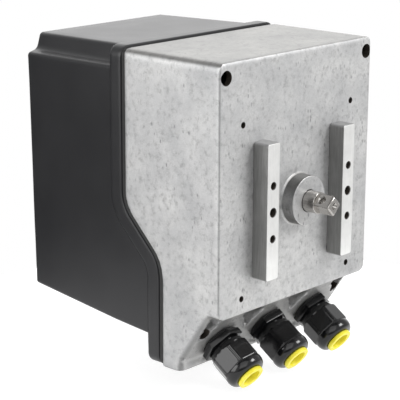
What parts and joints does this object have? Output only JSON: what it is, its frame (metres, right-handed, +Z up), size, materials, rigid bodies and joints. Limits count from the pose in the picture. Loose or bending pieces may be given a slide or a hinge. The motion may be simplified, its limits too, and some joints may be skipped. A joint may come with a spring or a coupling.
{
  "type": "motorized valve actuator",
  "caption": "Quarter-turn motor actuator: die-cast gear housing and moulded cover, square output shaft between mounting rails, angled row of plugged cable glands.",
  "frame": {"origin": "on the output shaft's axis, in the plane of the two mounting rails' outer faces", "axes": "+Z up, +X to the right as seen from behind the mounting face looking out, the output shaft points to -Y and the cover is on the +Y side"},
  "size_m": [0.14, 0.1958, 0.202],
  "materials": {
    "cast_aluminium": "raw die casting, shot blasted",
    "black_plastic": "satin moulded",
    "rubber": "matte moulded",
    "milled_aluminium": "milled",
    "stainless_steel": "ground",
    "steel": "machined",
    "zinc_plated_steel": "zinc plated",
    "spring_steel": "oiled",
    "brass": "machined",
    "sintered_bronze": "sintered, oiled",
    "black_polyamide": "glossy moulded",
    "yellow_plastic": "satin moulded",
    "motor_can": "drawn can",
    "white_nylon": "moulded",
    "dark_plastic": "moulded",
    "circuit_board": "solder mask",
    "green_plastic": "moulded",
    "red_plastic": "moulded",
    "clear_plastic": "clear moulded"
  },
  "bodies": {
    "housing": {"gear_housing": "cast_aluminium", "housing_cover": "black_plastic", "cover_gasket": "rubber", "sight_window": "clear_plastic", "mounting_rail_left": "milled_aluminium", "mounting_rail_right": "milled_aluminium", "front_bush": "sintered_bronze", "shaft_seal": "rubber", "rear_bush": "sintered_bronze", "idler_axle": "steel", "gear_motor": "motor_can", "feedback_potentiometer": "dark_plastic", "gear_plate": "zinc_plated_steel", "switch_bracket": "zinc_plated_steel", "open_switch": "dark_plastic", "closed_switch": "dark_plastic", "circuit_board": "circuit_board", "terminal_block": "green_plastic", "mode_switch": "dark_plastic", "button_block": "dark_plastic", "earth_screw": "brass", "rail_screw_1": "steel", "rail_screw_2": "steel", "rail_screw_3": "steel", "rail_screw_4": "steel", "cover_screw_upper_left": "steel", "cover_screw_upper_right": "steel", "cover_screw_lower_left": "steel", "cover_screw_lower_right": "steel", "gland_body_left": "black_polyamide", "gland_washer_left": "rubber", "gland_seal_left": "rubber", "gland_body_middle": "black_polyamide", "gland_washer_middle": "rubber", "gland_seal_middle": "rubber", "gland_body_right": "black_polyamide", "gland_washer_right": "rubber", "gland_seal_right": "rubber"},
    "shaft": {"output_shaft": "stainless_steel", "drive_gear": "steel", "open_cam": "white_nylon", "closed_cam": "white_nylon", "position_indicator": "red_plastic", "retaining_ring": "spring_steel"},
    "idler": {"idler_gear": "brass"},
    "motor_gear": {"motor_pinion": "brass"},
    "feedback": {"feedback_gear": "white_nylon"},
    "toggle": {"mode_toggle": "zinc_plated_steel"},
    "open_key": {"open_button": "red_plastic"},
    "close_key": {"close_button": "red_plastic"},
    "open_lever": {"open_switch_lever": "spring_steel"},
    "closed_lever": {"closed_switch_lever": "spring_steel"},
    "nut_left": {"gland_nut_left": "black_polyamide"},
    "plug_left": {"gland_plug_left": "yellow_plastic"},
    "nut_middle": {"gland_nut_middle": "black_polyamide"},
    "plug_middle": {"gland_plug_middle": "yellow_plastic"},
    "nut_right": {"gland_nut_right": "black_polyamide"},
    "plug_right": {"gland_plug_right": "yellow_plastic"}
  },
  "joints": [
    {"name": "shaft_turn", "type": "hinge", "parent": "housing", "child": "shaft", "pos_m": [0, 0, 0], "axis": [0, 1, 0], "range_deg": [0, 90]},
    {"name": "idler_turn", "type": "hinge", "parent": "housing", "child": "idler", "pos_m": [0.02224, 0, 0.02846], "axis": [0, 1, 0], "range_deg": [-270, 0]},
    {"name": "motor_turn", "type": "hinge", "parent": "housing", "child": "motor_gear", "pos_m": [-0.00568, 0, 0.04331], "axis": [0, 1, 0], "range_deg": [0, 675]},
    {"name": "feedback_turn", "type": "hinge", "parent": "housing", "child": "feedback", "pos_m": [-0.03817, 0, -0.01389], "axis": [0, 1, 0], "range_deg": [-180, 0]},
    {"name": "toggle_tilt", "type": "hinge", "parent": "housing", "child": "toggle", "pos_m": [-0.029, 0.0803, -0.042], "axis": [0, 0, 1], "range_deg": [-12, 12]},
    {"name": "open_press", "type": "slide", "parent": "housing", "child": "open_key", "axis": [0, -1, 0], "range_m": [0, 0.0012], "stiffness_N_per_m": 400},
    {"name": "close_press", "type": "slide", "parent": "housing", "child": "close_key", "axis": [0, -1, 0], "range_m": [0, 0.0012], "stiffness_N_per_m": 400},
    {"name": "open_lever_tilt", "type": "hinge", "parent": "housing", "child": "open_lever", "pos_m": [0.0164, 0, -0.0274], "axis": [0, 1, 0], "range_deg": [0, 4], "stiffness_Nm_per_rad": 0.02},
    {"name": "closed_lever_tilt", "type": "hinge", "parent": "housing", "child": "closed_lever", "pos_m": [0.0164, 0, -0.0274], "axis": [0, 1, 0], "range_deg": [0, 4], "stiffness_Nm_per_rad": 0.02},
    {"name": "nut_left_turn", "type": "hinge", "parent": "housing", "child": "nut_left", "pos_m": [-0.0431, 0.0349, -0.0849], "axis": [0, -0.8339, -0.5519], "continuous": true},
    {"name": "plug_left_pull", "type": "slide", "parent": "housing", "child": "plug_left", "axis": [0, -0.8339, -0.5519], "range_m": [0, 0.022]},
    {"name": "nut_middle_turn", "type": "hinge", "parent": "housing", "child": "nut_middle", "pos_m": [0, 0.0349, -0.0849], "axis": [0, -0.8339, -0.5519], "continuous": true},
    {"name": "plug_middle_pull", "type": "slide", "parent": "housing", "child": "plug_middle", "axis": [0, -0.8339, -0.5519], "range_m": [0, 0.022]},
    {"name": "nut_right_turn", "type": "hinge", "parent": "housing", "child": "nut_right", "pos_m": [0.0431, 0.0349, -0.0849], "axis": [0, -0.8339, -0.5519], "continuous": true},
    {"name": "plug_right_pull", "type": "slide", "parent": "housing", "child": "plug_right", "axis": [0, -0.8339, -0.5519], "range_m": [0, 0.022]}
  ],
  "couplings": [
    {"joint": "idler_turn", "follows": "shaft_turn", "ratio": -3},
    {"joint": "motor_turn", "follows": "shaft_turn", "ratio": 7.5},
    {"joint": "feedback_turn", "follows": "shaft_turn", "ratio": -2}
  ]
}
